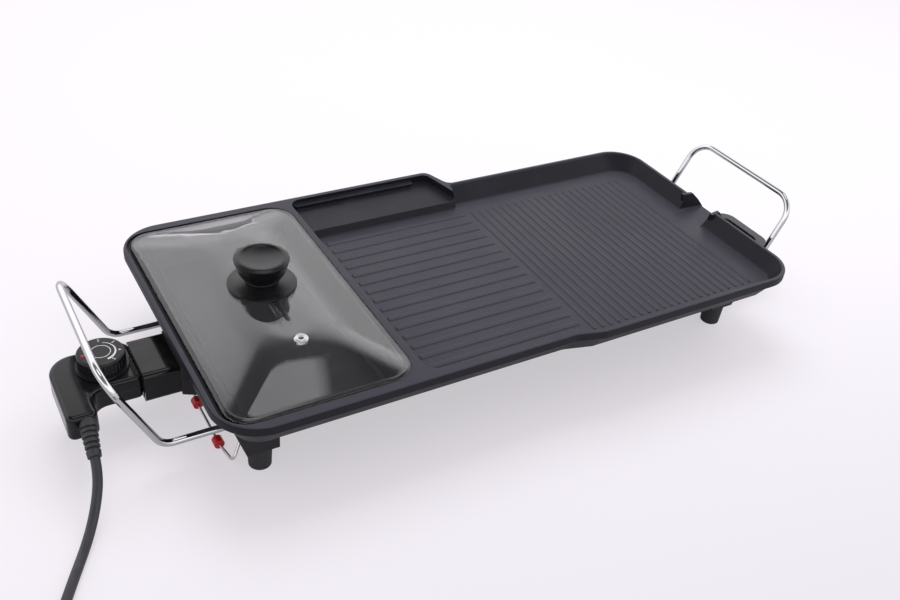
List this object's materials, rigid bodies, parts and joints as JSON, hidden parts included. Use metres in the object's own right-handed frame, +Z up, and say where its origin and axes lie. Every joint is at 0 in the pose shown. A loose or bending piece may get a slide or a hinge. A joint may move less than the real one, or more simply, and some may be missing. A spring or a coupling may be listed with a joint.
{
  "type": "electric table grill",
  "caption": "Electric table grill: long cast plate with a glass-lidded pot, ribbed griddle, rod handles, drip cup and a detachable thermostat plug.",
  "frame": {"origin": "on the table, under the middle of the object's box without its cord", "axes": "+X along the plate from the thermostat plug to the drip cup, +Y to the back, +Z up"},
  "size_m": [0.871, 0.569, 0.1362],
  "materials": {
    "plate_coating": "satin non-stick coating on die-cast aluminium",
    "pan_black": "matt black enamel on steel sheet",
    "lid_glass": "clear tempered glass",
    "knob_black": "polished phenolic moulding",
    "chrome": "polished chrome plate",
    "steel": "plain bright steel",
    "element_sheath": "heat-toned steel sheath",
    "bush_ceramic": "unglazed steatite ceramic",
    "plastic_gloss": "glossy moulded plastic",
    "plastic_satin": "satin moulded plastic",
    "foot_rubber": "matt rubber",
    "cord_rubber": "matt rubber sheath",
    "silicone_red": "satin silicone",
    "lens_smoked": "smoked clear plastic",
    "brass": "plain brass"
  },
  "bodies": {
    "grill": {"cooking_plate": "plate_coating", "base_pan": "pan_black", "base_pan_screws": "steel", "heating_element": "element_sheath", "element_clips": "steel", "clip_screws": "steel", "element_bushes": "bush_ceramic", "contact_pins": "steel", "socket_block": "plastic_satin", "socket_shroud": "plastic_gloss", "foot_brackets": "plastic_satin", "feet": "foot_rubber", "foot_screws": "steel", "left_handle": "chrome", "right_handle": "chrome", "handle_clamps": "steel", "cup_rails": "steel", "bail_clips": "steel"},
    "lid": {"glass_lid": "lid_glass", "knob_flange": "knob_black", "lid_knob": "knob_black", "knob_washer": "steel", "knob_screw": "steel", "vent_eyelet": "steel"},
    "drip_cup": {"drip_cup": "pan_black"},
    "bail": {"wire_bail": "steel", "bail_sleeves": "silicone_red"},
    "thermostat_plug": {"plug_upper_shell": "plastic_satin", "plug_lower_shell": "plastic_satin", "indicator_lens": "lens_smoked", "thermostat_unit": "bush_ceramic", "contact_sleeves": "brass", "probe_rod": "steel", "strain_relief": "cord_rubber", "mains_cord": "cord_rubber", "cord_coil": "cord_rubber", "mains_plug": "cord_rubber", "plug_pins": "brass"},
    "dial": {"dial": "plastic_gloss", "dial_shaft": "steel"}
  },
  "joints": [
    {"name": "lid_lift", "type": "slide", "parent": "grill", "child": "lid", "axis": [0, 0, 1], "range_m": [0, 0.08]},
    {"name": "plug_slide", "type": "slide", "parent": "grill", "child": "thermostat_plug", "axis": [-1, 0, 0], "range_m": [0, 0.075]},
    {"name": "dial_turn", "type": "hinge", "parent": "thermostat_plug", "child": "dial", "pos_m": [-0.34763, 0, 0.07], "axis": [0, 0, 1], "range_deg": [0, 270]},
    {"name": "cup_slide", "type": "slide", "parent": "grill", "child": "drip_cup", "axis": [1, 0, 0], "range_m": [0, 0.08]},
    {"name": "bail_fold", "type": "hinge", "parent": "grill", "child": "bail", "pos_m": [-0.25212, -0.04, 0.0355], "axis": [0, 1, 0], "range_deg": [0, 20]}
  ]
}
